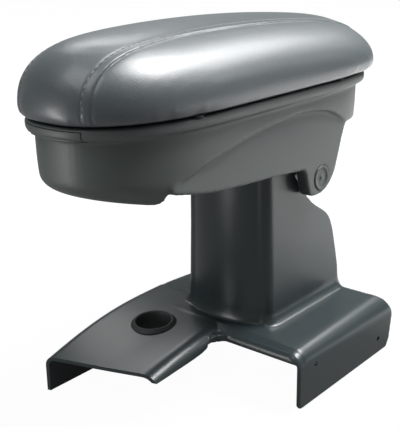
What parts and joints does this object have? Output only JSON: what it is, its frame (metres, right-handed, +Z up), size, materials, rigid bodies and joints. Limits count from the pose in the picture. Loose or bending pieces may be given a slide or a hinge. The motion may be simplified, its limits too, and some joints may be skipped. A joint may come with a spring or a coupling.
{
  "type": "car centre armrest",
  "caption": "Padded armrest lid over a storage box that tilts on a hollow pillar, on an adapter that straddles the console and reaches forward to a round socket collar.",
  "frame": {"origin": "middle of the overall footprint, on the level of the saddle's lower edges", "axes": "-X towards the car's front, +X towards its rear, -Y the short near side, +Y the side of the forward tongue, +Z up"},
  "size_m": [0.3296, 0.176, 0.2886],
  "materials": {
    "adapter_plastic": "moulded plastic with a soft gloss, dark blue-grey",
    "box_plastic": "satin moulded plastic with a fine grain, mid to dark grey",
    "inner_plastic": "matte moulded plastic, black",
    "cover_leather": "smooth synthetic leather with a fine grain and a soft gloss, dark grey",
    "black_rubber": "matte rubber",
    "zinc_steel": "zinc plated",
    "bush_nylon": "natural nylon",
    "board_wood": "raw fibreboard"
  },
  "bodies": {
    "base": {"console_adapter": "adapter_plastic", "socket_collar": "black_rubber", "post_bracket": "zinc_steel", "bracket_screws": "zinc_steel", "pivot_bushes": "bush_nylon", "tilt_stop": "black_rubber"},
    "armrest": {"storage_box": "box_plastic", "box_mat": "black_rubber", "hinge_yoke": "zinc_steel", "yoke_screws": "zinc_steel", "pivot_axle": "zinc_steel", "axle_nut": "zinc_steel", "spring_washers": "zinc_steel", "pivot_cap_left": "box_plastic", "pivot_cap_right": "box_plastic", "lid_hinge_pin": "zinc_steel", "rim_buffers": "black_rubber", "latch_spring": "zinc_steel", "latch_cover": "inner_plastic", "latch_screws": "zinc_steel"},
    "lid": {"lid_panel": "inner_plastic", "cushion_board": "board_wood", "lid_cushion": "cover_leather", "lid_screws": "zinc_steel"},
    "latch": {"latch_button": "box_plastic"}
  },
  "joints": [
    {"name": "armrest_tilt", "type": "hinge", "parent": "base", "child": "armrest", "pos_m": [0.075, 0, 0.16], "axis": [0, 1, 0], "range_deg": [0, 80]},
    {"name": "lid_hinge", "type": "hinge", "parent": "armrest", "child": "lid", "pos_m": [0.159, 0, 0.2335], "axis": [0, 1, 0], "range_deg": [0, 90]},
    {"name": "latch_press", "type": "slide", "parent": "armrest", "child": "latch", "axis": [1, 0, 0], "range_m": [0, 0.003], "stiffness_N_per_m": 600, "springref_m": -0.003, "deforming": ["latch_spring"]}
  ]
}
